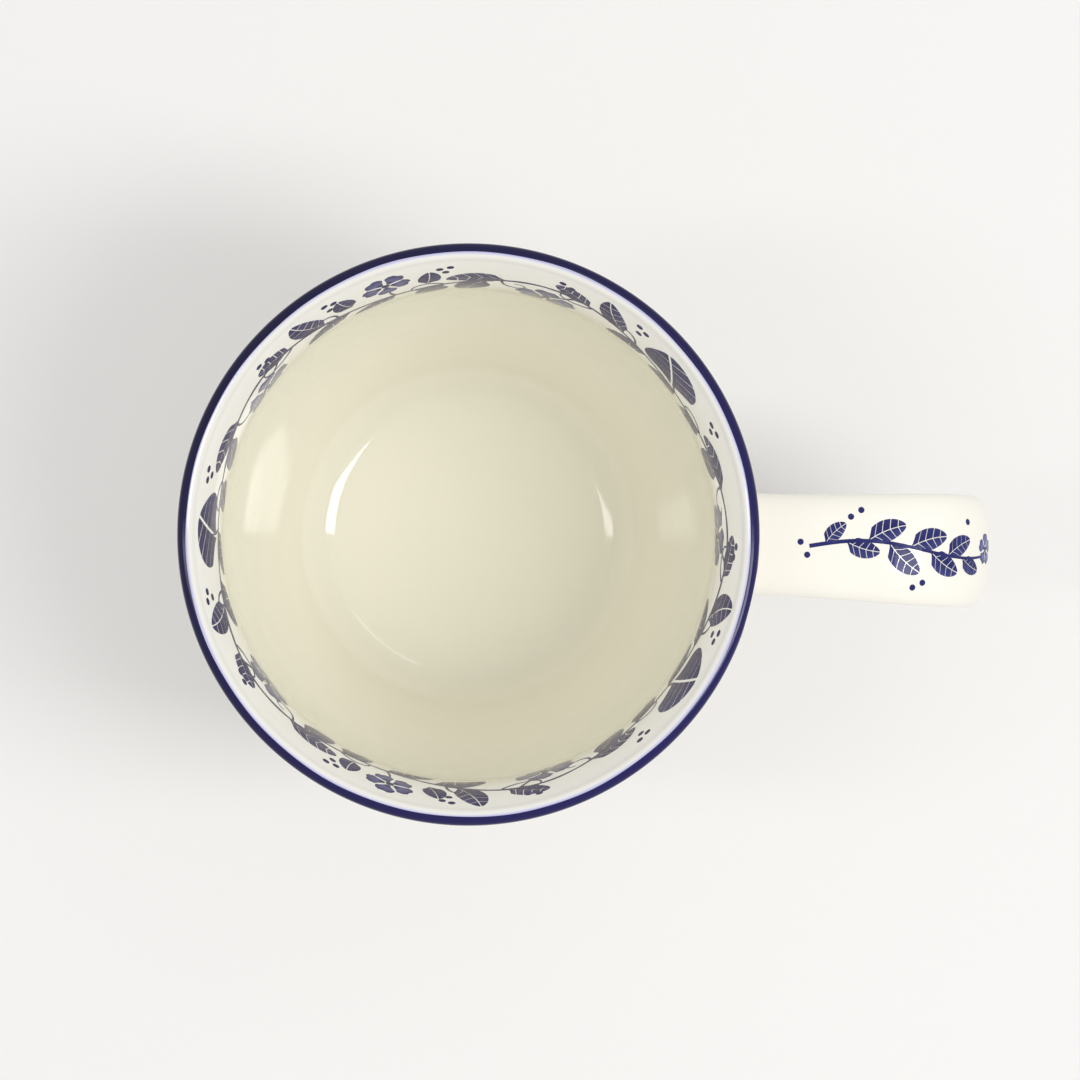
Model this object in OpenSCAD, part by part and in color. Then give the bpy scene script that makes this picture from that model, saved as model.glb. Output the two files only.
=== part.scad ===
// Flared china mug with a broad strap handle, cast and fired as one piece.
// Lengths are in millimetres. The origin lies on the mug's axis in the plane that it stands on,
// +Z is up, and the handle points along +X.

/* [Bowl] */
// Diameter over the rim
rim_d = 90; // [78:0.5:104]
// Height from the table to the top of the rim
height = 92; // [84:0.5:110]
// How far the lip's inner edge stands out past the neck, where the flared rim meets the bowl
rim_flare = 3.5; // [2:0.1:5]
// Depth of the neck below the rim
neck_drop = 20; // [15:0.5:26]
// How far the inner wall draws in from the neck to the edge of the flat floor
bowl_draw = 17.7; // [15.5:0.1:20]
// Radius of the shallow dish that runs out from the flat floor
dish_r = 20; // [12:0.5:40]
// Tilt of the dish where it turns into the corner, in degrees
dish_tilt = 3; // [1:0.5:8]
// Rounding between the dish and the wall
corner_r = 7; // [5.5:0.1:9]

/* [Walls] */
// Thickness of the rim and the neck
lip_t = 2.6; // [2:0.1:3.4]
// Thickness of the floor
floor_t = 4; // [3:0.1:6]

/* [Foot] */
// How far the foot ring's side stands in from the neck's outer face
foot_inset = 14; // [11:0.5:15.5]
// Rounding of the heel, where the wall turns in above the foot
heel_r = 12.4; // [11:0.1:14]
// Width of the foot ring
foot_w = 4.4; // [3:0.1:6]
// Height of the hollow inside the foot ring
foot_h = 3; // [2.4:0.1:4.5]
// How far the heel's curve carries on inward past the side of the foot
heel_tuck = 6; // [4:0.5:7.5]
// Rounding of the foot ring's two lower edges
foot_edge_r = 0.9; // [0.4:0.1:1.3]
// Fillets above the foot ring, outside and in its hollow
foot_fillet_r = 1.2; // [0.6:0.1:1.6]

/* [Handle] */
// Depth of the handle's top face below the rim
handle_drop = 16; // [12:0.5:24]
// Distance from the neck's outer face to the outermost face of the handle
handle_reach = 41.8; // [36:0.1:50]
// Outer radius of the bend at the handle's top corner
bend_r = 17; // [13:0.5:22]
// Height of the middle of the lower root
tail_z = 24; // [21:0.5:30]
// Slope of the handle where it runs down into the lower root, in degrees
tail_slope = 28; // [10:1:35]
// Width of the strap at its upper root
root_w = 16; // [13:0.5:19]
// Width of the strap over the top bend, where it is broadest
bend_w = 18; // [15:0.5:22]
// Width of the strap where it is slimmest, on its lower stretch
tail_w = 14.5; // [12:0.5:18]
// Thickness of the strap
handle_t = 7.4; // [6:0.2:9]
// Squareness of the strap's section, where 2 is an ellipse
handle_square = 2.7; // [2:0.1:3.6]
// Fillet between the handle and the bowl
root_fillet_r = 3.4; // [2:0.2:4.5]

/* [Hidden] */

// Facets round the mug, and round one section of the strap
turn_steps = 180;
strap_steps = 28;
// Facets along the long curves of the bowl, along its tight ones, and on the foot's small roundings
long_steps = 12;
tight_steps = 10;
edge_steps = 4;
// Sections of the strap: at the upper root, along the arm, on the top bend, down the sweep and at the
// lower root, which takes over at this share of the sweep
arm_steps = 9;
run_steps = 5;
bend_steps = 12;
sweep_steps = 20;
tail_steps = 9;
tail_share = 0.87;
// Spare height by which the cavity's cutter stands above the rim
cut_over = 1;
// How far the strap's ends run on behind the bowl's outer face
root_sink = 3;
// Share of the root fillet that is modelled, so that it meets the wall at an angle, not at a feather edge
fillet_share = 0.9;
// Size of the fillet in an acute corner, as a share of the root fillet
corner_share = 1.3;
// Pull of the lower stretch's curve: down from the top bend, and out from the lower root
pull_down = 0.78;
pull_out = 0.52;
// Places along the strap run from 0 at the upper root to 1 at the end of the top bend and 2 at the lower
// root. The bend starts at the first of these, the strap is broadest between the next two, and it has
// its slim lower width from the last on.
bend_place = 0.5;
broad_from = 0.8;
broad_to = 0.9;
slim_from = 1.7;

// Rim: the round lip closes two arcs about one centre, which meet the neck upright
lip_r = lip_t / 2;
lip_c = [rim_d / 2 - lip_r, height - lip_r];
neck_out_r = rim_d / 2 - rim_flare;
neck_r = neck_out_r - lip_t;
neck_z = height - neck_drop;
flare_up = lip_c.y - neck_z;
flare_r = (pow(lip_r + rim_flare, 2) + pow(flare_up, 2) - pow(lip_r, 2)) / (2 * rim_flare);
flare_c = [neck_r + flare_r, neck_z];
flare_a = atan2(flare_up, flare_c.x - lip_c.x);

// Bowl: below the neck each face is a long arc that runs tangent into a tight one, and the inner one
// into the dish
floor_z = foot_h + floor_t;
dish_c = [neck_r - bowl_draw, floor_z + dish_r];
corner_c = dish_c + (dish_r - corner_r) * [sin(dish_tilt), -cos(dish_tilt)];
inner_r = long_r([neck_r, neck_z] - corner_c, corner_r);
inner_c = [neck_r - inner_r, neck_z];
inner_lean = asin((neck_z - corner_c.y) / (inner_r - corner_r));
heel_c = [neck_out_r - foot_inset - heel_tuck, foot_h + heel_r];
wall_r = long_r([neck_out_r, neck_z] - heel_c, heel_r);
wall_c = [neck_out_r - wall_r, neck_z];
outer_lean = asin((neck_z - heel_c.y) / (wall_r - heel_r));
heel_top = heel_c.y - heel_r * sin(outer_lean);

// Foot: the fillet's centre lies off the foot's side and off the heel by the fillet's own radius
foot_r = neck_out_r - foot_inset;
foot_in_r = foot_r - foot_w;
fillet_x = foot_r + foot_fillet_r;
fillet_z = heel_c.y - sqrt(pow(heel_r + foot_fillet_r, 2) - pow(fillet_x - heel_c.x, 2));
fillet_c = [fillet_x, fillet_z];
fillet_a = atan2(heel_c.y - fillet_c.y, fillet_c.x - heel_c.x);

// Handle: the middle line runs level, round the top bend, and then in a sweep to the lower root
arm_z = height - handle_drop - handle_t / 2;
bend_c = [neck_out_r + handle_reach - bend_r, height - handle_drop - bend_r];
bend_mid_r = bend_r - handle_t / 2;
arm_start = outer_r(arm_z) - root_sink;
arm_clear = outer_r(arm_z) + corner_share * root_fillet_r;
sweep_top = [bend_c.x + bend_mid_r, bend_c.y];
sweep_end = [outer_r(tail_z), tail_z];
tail_dir = [-cos(tail_slope), -sin(tail_slope)];
sweep_a = sweep_top - [0, pull_down * (sweep_top.y - sweep_end.y)];
sweep_b = sweep_end - tail_dir * pull_out * (sweep_top.x - sweep_end.x);

function unit(v) = v / norm(v);
function mix(a, b, t) = a + (b - a) * t;

// Points of an arc about c, from angle a to angle b in n steps
function arc(c, r, a, b, n) = [for (i = [0:n]) let (t = mix(a, b, i / n)) c + r * [cos(t), sin(t)]];

// Radius of the long arc, upright at its top, that runs tangent into a tight arc, where the top lies
// off the tight arc's centre by the vector "off"
function long_r(off, tight) = (off * off - pow(tight, 2)) / (2 * (off.x - tight));

// Outer radius of the bowl at height z
function outer_r(z) =
    z > neck_z ? flare_c.x - sqrt(pow(flare_r - lip_t, 2) - pow(z - neck_z, 2)) :
    z > heel_top ? wall_c.x + sqrt(pow(wall_r, 2) - pow(neck_z - z, 2)) :
    heel_c.x + sqrt(pow(heel_r, 2) - pow(heel_c.y - z, 2));

// Outline of the bowl as if it were solid, from the hollow under the foot to the top of the lip
outside = concat(
    [[0, foot_h]],
    arc([foot_in_r - foot_fillet_r, foot_h - foot_fillet_r], foot_fillet_r, 90, 0, edge_steps),
    arc([foot_in_r + foot_edge_r, foot_edge_r], foot_edge_r, 180, 270, edge_steps),
    arc([foot_r - foot_edge_r, foot_edge_r], foot_edge_r, 270, 360, edge_steps),
    arc(fillet_c, foot_fillet_r, 180, 180 - fillet_a, edge_steps),
    arc(heel_c, heel_r, -fillet_a, -outer_lean, tight_steps),
    arc(wall_c, wall_r, -outer_lean, 0, long_steps),
    arc(flare_c, flare_r - lip_t, 180, 180 - flare_a, long_steps),
    arc(lip_c, lip_r, -flare_a, 90, tight_steps),
    [[0, height]]
);

// Outline of the space inside, from the floor to the top of the lip and on above it
inside = concat(
    [[0, floor_z]],
    arc(dish_c, dish_r, -90, dish_tilt - 90, edge_steps),
    arc(corner_c, corner_r, dish_tilt - 90, -inner_lean, tight_steps),
    arc(inner_c, inner_r, -inner_lean, 0, long_steps),
    arc(flare_c, flare_r, 180, 180 - flare_a, long_steps),
    arc(lip_c, lip_r, 180 - flare_a, 90, tight_steps),
    [[lip_c.x, height + cut_over], [0, height + cut_over]]
);

// Points of a closed outline with neighbours that coincide taken out
function apart(p) = [for (i = [0:len(p) - 1]) if (norm(p[i] - p[(i + 1) % len(p)]) > 0.001) p[i]];

// Point and heading on the sweep from the top bend to the lower root
function sweep_at(t) =
    pow(1 - t, 3) * sweep_top + 3 * t * pow(1 - t, 2) * sweep_a + 3 * t * t * (1 - t) * sweep_b
    + pow(t, 3) * sweep_end;
function sweep_dir(t) =
    pow(1 - t, 2) * (sweep_a - sweep_top) + 2 * t * (1 - t) * (sweep_b - sweep_a)
    + t * t * (sweep_end - sweep_b);

// Stations along the strap, each a point, a unit heading and the place along the strap. They lie
// closer together at the roots.
stations = concat(
    [for (i = [0:arm_steps]) [[mix(arm_start, arm_clear, i / arm_steps), arm_z], [1, 0], 0]],
    [for (i = [1:run_steps - 1])
        [[mix(arm_clear, bend_c.x, i / run_steps), arm_z], [1, 0], bend_place * i / run_steps]],
    [for (i = [0:bend_steps]) let (a = 90 - 90 * i / bend_steps)
        [bend_c + bend_mid_r * [cos(a), sin(a)], [sin(a), -cos(a)], mix(bend_place, 1, i / bend_steps)]],
    [for (i = [1:sweep_steps]) let (t = tail_share * i / sweep_steps)
        [sweep_at(t), unit(sweep_dir(t)), 1 + t]],
    [for (i = [1:tail_steps]) let (t = tail_share + (1 - tail_share) * i / tail_steps)
        [sweep_at(t), unit(sweep_dir(t)), 1 + t]],
    [[sweep_end + tail_dir * root_sink, tail_dir, 2]]
);

// Width of the strap, eased from the upper root to the bend and on to the slim lower stretch
function ease(t) = (1 - cos(180 * min(1, max(0, t)))) / 2;
function strap_w(place) =
    mix(
        mix(root_w, bend_w, ease(place / broad_from)),
        tail_w,
        ease((place - broad_to) / (slim_from - broad_to))
    );

// Outward normal of the bowl's outer face at the point [x, y, z]
function wall_normal(p) =
    let (
        lean = asin(p.z > neck_z ? (p.z - neck_z) / (flare_r - lip_t) : (neck_z - p.z) / wall_r),
        out = unit([p.x, p.y]) * cos(lean)
    )
    [out.x, out.y, -sin(lean)];

// How far a fillet of radius r lifts the strap's skin at a point that lies "off" the bowl's outer face
function swell(off, r) =
    off >= r ? 0 :
    let (k = fillet_share * (1 - max(0, off) / r)) r * (1 - sqrt(1 - k * k));

// Point k of the section at one station: a rounded rectangle, lifted by the root fillet, which is small
// where the skin already turns into the wall and larger in the acute corner above the lower root
function power(v, e) = sign(v) * pow(abs(v), e);
function strap_point(st, k) =
    let (
        a = 360 * k / strap_steps,
        e = 2 / handle_square,
        across = strap_w(st[2]) / 2 * power(cos(a), e),
        up = handle_t / 2 * power(sin(a), e),
        n = unit([power(cos(a), 2 - e) / strap_w(st[2]), power(sin(a), 2 - e) / handle_t]),
        side = [-st[1].y, st[1].x],
        base = st[0] + side * up,
        facing = [side.x * n.y, n.x, side.y * n.y] * wall_normal([base.x, across, base.y]),
        r = root_fillet_r * min(corner_share, 1 - facing),
        more = swell(norm([base.x, across]) - outer_r(base.y), r),
        p = st[0] + side * (up + n.y * more)
    )
    [p.x, across + n.x * more, p.y];

// The strap: a skin over its sections, with a flat cap at each end, which the bowl's wall hides
module strap() {
    rings = len(stations);
    points = [for (st = stations) for (k = [0:strap_steps - 1]) strap_point(st, k)];
    function at(i, k) = i * strap_steps + k % strap_steps;
    skin = [for (i = [0:rings - 2]) for (k = [0:strap_steps - 1])
        [at(i, k), at(i + 1, k), at(i + 1, k + 1), at(i, k + 1)]];
    first_cap = [for (k = [0:strap_steps - 1]) at(0, k)];
    last_cap = [for (k = [strap_steps - 1:-1:0]) at(rings - 1, k)];
    polyhedron(points, concat(skin, [first_cap, last_cap]), convexity = 4);
}

// The mug: the bowl and the strap are joined first, and then the inside is taken out of both
module mug() {
    color("ivory")
    difference() {
        union() {
            rotate_extrude($fn = turn_steps) polygon(apart(outside));
            strap();
        }
        rotate_extrude($fn = turn_steps) polygon(apart(inside));
    }
}

mug();
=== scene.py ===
import bmesh
import bpy
import numpy as np
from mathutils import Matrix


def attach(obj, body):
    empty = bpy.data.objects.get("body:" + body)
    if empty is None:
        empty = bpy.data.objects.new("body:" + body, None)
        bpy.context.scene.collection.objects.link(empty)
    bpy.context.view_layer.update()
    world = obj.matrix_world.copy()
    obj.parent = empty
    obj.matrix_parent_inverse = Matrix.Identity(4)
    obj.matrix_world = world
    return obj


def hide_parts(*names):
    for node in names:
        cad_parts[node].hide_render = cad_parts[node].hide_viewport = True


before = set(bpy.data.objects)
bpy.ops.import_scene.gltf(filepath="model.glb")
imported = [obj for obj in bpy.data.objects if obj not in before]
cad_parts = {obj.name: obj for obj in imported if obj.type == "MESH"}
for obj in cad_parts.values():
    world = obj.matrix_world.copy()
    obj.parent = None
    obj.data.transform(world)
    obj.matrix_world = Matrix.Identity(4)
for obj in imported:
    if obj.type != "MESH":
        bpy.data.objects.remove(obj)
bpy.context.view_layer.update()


# The bowl. Ivory china, turned in a plaster mould together with its foot ring. A round bead closes
# the lip, the neck flares, the wall comes down in one long curve to the rounded heel, and inside
# the wall runs through a tight corner and a very shallow dish into the floor. All in metres.
print_lift = 0.00003
solid_facet = 0.00005
# The rim keeps inside the solids' box, by what their flat facets lose there and by the print's lift.
rim_d = 0.090 - solid_facet - 2 * print_lift
height = 0.092 - print_lift
rim_flare = 0.0035
neck_drop = 0.020
bowl_draw = 0.0177
dish_r = 0.020
dish_tilt = np.radians(3)
corner_r = 0.007
lip_t = 0.0026
floor_t = 0.004
foot_inset = 0.014
heel_r = 0.0124
foot_w = 0.0044
foot_h = 0.003
heel_tuck = 0.006
foot_edge_r = 0.0009
foot_fillet_r = 0.0012
turns = 256
disc_rows = 7
row_step = 0.00105
edge_step = 0.00022
same_point = 0.000001

lip_r = lip_t / 2
lip_c = np.array([rim_d / 2 - lip_r, height - lip_r])
neck_out_r = rim_d / 2 - rim_flare
neck_r = neck_out_r - lip_t
neck_z = height - neck_drop
flare_up = lip_c[1] - neck_z
flare_r = ((lip_r + rim_flare) ** 2 + flare_up ** 2 - lip_r ** 2) / (2 * rim_flare)
flare_c = np.array([neck_r + flare_r, neck_z])
flare_a = np.arctan2(flare_up, flare_c[0] - lip_c[0])


def long_r(off, tight):
    """Radius of the wall's long arc, upright at its top, that runs tangent into a tight arc: the square
    of the vector from the tight arc's centre to the top, less the tight radius squared, over twice
    the vector's level part less the tight radius."""
    return (off @ off - tight ** 2) / (2 * (off[0] - tight))


floor_z = foot_h + floor_t
dish_c = np.array([neck_r - bowl_draw, floor_z + dish_r])
corner_c = dish_c + (dish_r - corner_r) * np.array([np.sin(dish_tilt), -np.cos(dish_tilt)])
inner_r = long_r(np.array([neck_r, neck_z]) - corner_c, corner_r)
inner_c = np.array([neck_r - inner_r, neck_z])
inner_lean = np.arcsin((neck_z - corner_c[1]) / (inner_r - corner_r))
heel_c = np.array([neck_out_r - foot_inset - heel_tuck, foot_h + heel_r])
wall_r = long_r(np.array([neck_out_r, neck_z]) - heel_c, heel_r)
wall_c = np.array([neck_out_r - wall_r, neck_z])
outer_lean = np.arcsin((neck_z - heel_c[1]) / (wall_r - heel_r))
heel_top = heel_c[1] - heel_r * np.sin(outer_lean)
foot_r = neck_out_r - foot_inset
foot_in_r = foot_r - foot_w
fillet_x = foot_r + foot_fillet_r
fillet_z = heel_c[1] - np.sqrt((heel_r + foot_fillet_r) ** 2 - (fillet_x - heel_c[0]) ** 2)
fillet_a = np.arctan2(heel_c[1] - fillet_z, fillet_x - heel_c[0])


def arc(centre, radius, start, end, step):
    """Points of an arc: the centre plus the radius times (cos, sin) of an angle that runs evenly from
    start to end, with the points about one step apart and at least four of them."""
    count = int(np.ceil(abs(end - start) * radius / step)) + 1
    angle = np.linspace(start, end, max(count, 4))
    return centre + radius * np.column_stack([np.cos(angle), np.sin(angle)])


def level(start, end, z):
    """Points (r, z) of a flat disc or ring, evenly spaced from radius start to radius end."""
    return np.column_stack([np.linspace(start, end, disc_rows), np.full(disc_rows, z)])


half = np.pi / 2
outline = np.concatenate([
    level(0, foot_in_r - foot_fillet_r, foot_h),
    arc((foot_in_r - foot_fillet_r, foot_h - foot_fillet_r), foot_fillet_r, half, 0, edge_step),
    arc((foot_in_r + foot_edge_r, foot_edge_r), foot_edge_r, np.pi, 3 * half, edge_step),
    arc((foot_r - foot_edge_r, foot_edge_r), foot_edge_r, 3 * half, 4 * half, edge_step),
    arc((fillet_x, fillet_z), foot_fillet_r, np.pi, np.pi - fillet_a, edge_step),
    arc(heel_c, heel_r, -fillet_a, -outer_lean, row_step),
    arc(wall_c, wall_r, -outer_lean, 0, row_step),
    arc(flare_c, flare_r - lip_t, np.pi, np.pi - flare_a, row_step),
    arc(lip_c, lip_r, -flare_a, np.pi - flare_a, edge_step),
    arc(flare_c, flare_r, np.pi - flare_a, np.pi, row_step),
    arc(inner_c, inner_r, 0, -inner_lean, row_step),
    arc(corner_c, corner_r, -inner_lean, dish_tilt - half, row_step / 2),
    arc(dish_c, dish_r, dish_tilt - half, -half, row_step),
    level(neck_r - bowl_draw, 0, floor_z),
])
apart = np.linalg.norm(np.diff(outline, axis=0), axis=1) > same_point
outline = outline[np.concatenate([[True], apart])]

turn = 2 * np.pi * np.arange(turns) / turns
bowl = np.stack([
    outline[:, :1] * np.cos(turn),
    outline[:, :1] * np.sin(turn),
    np.broadcast_to(outline[:, 1:], (len(outline), turns)),
], axis=-1)
bowl_ids = np.arange(bowl.shape[0] * turns).reshape(-1, turns)


def outer_r(z):
    """Radius of the bowl's outer face at height z: the flare's arc above the neck, the wall's long arc
    below it, and the heel's round under that."""
    flare = flare_c[0] - np.sqrt(np.maximum((flare_r - lip_t) ** 2 - (z - neck_z) ** 2, 0))
    wall = wall_c[0] + np.sqrt(np.maximum(wall_r ** 2 - (neck_z - z) ** 2, 0))
    heel = heel_c[0] + np.sqrt(np.maximum(heel_r ** 2 - (heel_c[1] - z) ** 2, 0))
    return np.where(z > neck_z, flare, np.where(z > heel_top, wall, heel))


def wall_normal(p):
    """Outward normal of the bowl's outer face at points p: level where the face is upright, tipped
    down above the heel and in the flare by the slope of the arc there."""
    above = p[..., 2] - neck_z
    rise = np.where(above > 0, above / (flare_r - lip_t), -above / wall_r)
    out = p[..., :2] / np.linalg.norm(p[..., :2], axis=-1, keepdims=True)
    return np.concatenate([out * np.sqrt(1 - rise ** 2)[..., None], -rise[..., None]], axis=-1)


# The handle. A broad china strap, cast with the bowl: a level arm at the top, a round bend, and a
# long sweep that comes back slimmer to the lower root. Its section is a soft-cornered rectangle,
# and wet slip, wiped round both roots, leaves a fillet there.
handle_drop = 0.016
handle_reach = 0.0418 - print_lift
bend_r = 0.017
tail_z = 0.024
tail_slope = np.radians(28)
root_w = 0.016
bend_w = 0.018
tail_w = 0.0145
handle_t = 0.0074
handle_square = 2.7
root_fillet_r = 0.0034
corner_share = 1.3
wall_share = 0.85
pull_down = 0.78
pull_out = 0.52
bend_place = 0.5
broad_from = 0.8
broad_to = 0.9
slim_from = 1.7
root_run = 0.010
hole_cols = 24
hole_rows = 18
hole_raise = 0.0006
halvings = 40
foot_rows = 4
fillet_rows = 8
quarter_pull = 0.5523
arm_rows = 14
bend_rows = 18
sweep_rows = 41
up_behind = -0.3
up_free = 0.4
down_behind = 2.8
down_free = 1.6

arm_z = height - handle_drop - handle_t / 2
bend_c = np.array([neck_out_r + handle_reach - bend_r, height - handle_drop - bend_r])
bend_mid_r = bend_r - handle_t / 2
arm_clear = outer_r(arm_z) + corner_share * root_fillet_r
sweep_top = np.array([bend_c[0] + bend_mid_r, bend_c[1]])
sweep_end = np.array([outer_r(tail_z), tail_z])
tail_dir = -np.array([np.cos(tail_slope), np.sin(tail_slope)])
sweep_a = sweep_top - [0, pull_down * (sweep_top[1] - sweep_end[1])]
sweep_b = sweep_end - tail_dir * pull_out * (sweep_top[0] - sweep_end[0])


def handle_line(place):
    """Point (x, z) and unit heading of the strap's middle line. The place runs from 0 at the upper root
    to 0.5 at the start of the bend, 1 at its end and 2 at the lower root: a level line, a quarter
    circle, a cubic Bezier curve, and a straight run on into the wall past 2."""
    place = np.asarray(place, float)[..., None]
    run = arm_clear + (bend_c[0] - arm_clear) * place / bend_place
    arm = np.concatenate([run, np.full_like(run, arm_z)], axis=-1)
    angle = half - half * (np.clip(place, bend_place, 1) - bend_place) / (1 - bend_place)
    bend = bend_c + bend_mid_r * np.concatenate([np.cos(angle), np.sin(angle)], axis=-1)
    bend_way = np.concatenate([np.sin(angle), -np.cos(angle)], axis=-1)
    t = np.clip(place - 1, 0, 1)
    sweep = (1 - t) ** 3 * sweep_top + 3 * t * (1 - t) ** 2 * sweep_a + 3 * t * t * (1 - t) * sweep_b
    sweep = sweep + t ** 3 * sweep_end
    way = (1 - t) ** 2 * (sweep_a - sweep_top) + 2 * t * (1 - t) * (sweep_b - sweep_a)
    way = way + t * t * (sweep_end - sweep_b)
    way = way / np.linalg.norm(way, axis=-1, keepdims=True)
    root = sweep_end + tail_dir * root_run * (place - 2)
    point = np.where(place < bend_place, arm, np.where(place < 1, bend, np.where(place < 2, sweep, root)))
    heading = np.where(place < bend_place, [1.0, 0.0], np.where(place < 1, bend_way, way))
    return point, heading


def ease(t):
    """Half a cosine wave, from 0 at t = 0 to 1 at t = 1, and level outside."""
    return (1 - np.cos(np.pi * np.clip(t, 0, 1))) / 2


def strap_w(place):
    """Width of the strap: eased from the root's to the bend's, and on to the slim lower stretch's."""
    broad = root_w + (bend_w - root_w) * ease(place / broad_from)
    return broad + (tail_w - broad) * ease((place - broad_to) / (slim_from - broad_to))


def power(v, e):
    """The size of v raised to e, with v's own sign."""
    return np.sign(v) * np.abs(v) ** e


def strap_skin(place, a):
    """Point of the strap's skin and its normal. The section is a superellipse: across = half the width
    times cos(a)^(2/n), up = half the thickness times sin(a)^(2/n), set square to the middle line."""
    point, way = handle_line(place)
    e = 2 / handle_square
    width = strap_w(place)
    across = width / 2 * power(np.cos(a), e)
    up = handle_t / 2 * power(np.sin(a), e)
    n = np.stack([power(np.cos(a), 2 - e) / width, power(np.sin(a), 2 - e) / handle_t], axis=-1)
    n = n / np.linalg.norm(n, axis=-1, keepdims=True)
    side = np.stack([-way[..., 1], way[..., 0]], axis=-1)
    skin = np.stack([point[..., 0] + side[..., 0] * up, across, point[..., 1] + side[..., 1] * up], axis=-1)
    normal = np.stack([side[..., 0] * n[..., 1], n[..., 0], side[..., 1] * n[..., 1]], axis=-1)
    return skin, normal


def place_off_wall(a, off, near, far):
    """Place along the strap at which each skin line stands off from the bowl by `off`, found by halving
    the stretch between a place behind the wall and a place clear of it."""
    near = np.full_like(a, near)
    far = np.full_like(a, far)
    for _ in range(halvings):
        middle = (near + far) / 2
        skin, _normal = strap_skin(middle, a)
        behind = np.hypot(skin[:, 0], skin[:, 1]) - outer_r(skin[:, 2]) < off
        near = np.where(behind, middle, near)
        far = np.where(behind, far, middle)
    return (near + far) / 2


def root_rows(a, rim, behind, clear):
    """Rows of points from the edge of the opening in the bowl's wall to the clean strap: first on the
    wall, evenly from the opening to the fillet's foot, and then along the fillet, a Bezier curve that is
    nearly a quarter round, between the wall and the strap. The fillet is smaller where strap and wall
    meet at a wide angle. Returns the rows and the place where each skin line is clean."""
    meet, normal = strap_skin(place_off_wall(a, 0, behind, clear), a)
    wall = wall_normal(meet)
    facing = (normal * wall).sum(-1)
    size = root_fillet_r * np.minimum(corner_share, 1 - facing)
    along = normal - facing[:, None] * wall
    along = along / np.linalg.norm(along, axis=-1, keepdims=True)
    foot = meet + wall_share * size[:, None] * along
    foot_turn = np.arctan2(foot[:, 1], foot[:, 0])
    rim_turn = np.arctan2(rim[:, 1], rim[:, 0])
    share = np.linspace(0, 1, foot_rows + 1)[1:, None]
    z = rim[:, 2] + (foot[:, 2] - rim[:, 2]) * share
    way = rim_turn + (foot_turn - rim_turn) * share
    on_wall = np.stack([outer_r(z) * np.cos(way), outer_r(z) * np.sin(way), z], axis=-1)
    foot = on_wall[-1]
    clean_place = place_off_wall(a, size, behind, clear)
    clean, _normal = strap_skin(clean_place, a)
    pull_a = foot + quarter_pull * (meet - foot)
    pull_b = clean + quarter_pull * (meet - clean)
    t = np.linspace(0, 1, fillet_rows + 1)[1:, None, None]
    left = 1 - t
    fillet = left ** 3 * foot + 3 * t * left ** 2 * pull_a + 3 * t * t * left * pull_b + t ** 3 * clean
    return np.concatenate([on_wall, fillet]), clean_place


side_step = np.radians(90) / hole_rows
flat_step = np.radians(90) / hole_cols
# Round the section the skin lines stand by the points of the opening's edge: inner side, one edge of
# the strap, outer side, other edge.
section = np.concatenate([
    np.radians(-45) + side_step * np.arange(hole_rows),
    np.radians(45) + flat_step * np.arange(hole_cols),
    np.radians(135) + side_step * np.arange(hole_rows),
    np.radians(225) + flat_step * np.arange(hole_cols),
])
half_cols = hole_cols // 2
outer_rows = np.arange(len(outline)) < np.argmax(outline[:, 1])
wall_z = np.where(outer_rows, outline[:, 1], -1)
up_low = int(np.argmin(np.abs(wall_z - (arm_z - hole_rows * row_step / 2))))
down_low = int(np.argmin(np.abs(wall_z - (tail_z + hole_raise - hole_rows * row_step / 2))))
rows = np.arange(hole_rows)
cols = np.arange(hole_cols)
up_edge = np.concatenate([
    bowl_ids[up_low + rows, half_cols],
    bowl_ids[up_low + hole_rows, half_cols - cols],
    bowl_ids[up_low + hole_rows - rows, -half_cols],
    bowl_ids[up_low, cols - half_cols],
])
down_edge = np.concatenate([
    bowl_ids[down_low + hole_rows - rows, half_cols],
    bowl_ids[down_low, half_cols - cols],
    bowl_ids[down_low + rows, -half_cols],
    bowl_ids[down_low + hole_rows, cols - half_cols],
])
bowl_points = bowl.reshape(-1, 3)
up_root, up_clean = root_rows(section, bowl_points[up_edge], up_behind, up_free)
down_root, down_clean = root_rows(section, bowl_points[down_edge], down_behind, down_free)
strap_place = np.concatenate([
    up_clean + (bend_place - up_clean) * np.linspace(0, 1, arm_rows + 1)[1:, None],
    np.broadcast_to(np.linspace(bend_place, 1, bend_rows + 1)[1:, None], (bend_rows, len(section))),
    1 + (down_clean - 1) * np.linspace(0, 1, sweep_rows + 2)[1:-1, None],
])
strap, _normal = strap_skin(strap_place, np.broadcast_to(section, strap_place.shape))
strap = np.concatenate([up_root, strap, down_root[::-1]])
strap_ids = bowl_points.shape[0] + np.arange(strap[..., 0].size).reshape(strap.shape[:2])
strap_ids = np.concatenate([up_edge[None], strap_ids, down_edge[None]])


# The mug as one piece of china: the bowl's skin is opened at both roots, and the strap's skin is
# sewn to the edges of the openings, so that bowl, foot and handle are a single closed surface.
def quads(ids):
    """Faces of a grid of point numbers that closes on itself from its last column to its first."""
    ids = np.concatenate([ids, ids[:, :1]], axis=1)
    return np.stack([ids[:-1, :-1], ids[:-1, 1:], ids[1:, 1:], ids[1:, :-1]], axis=-1)


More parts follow.
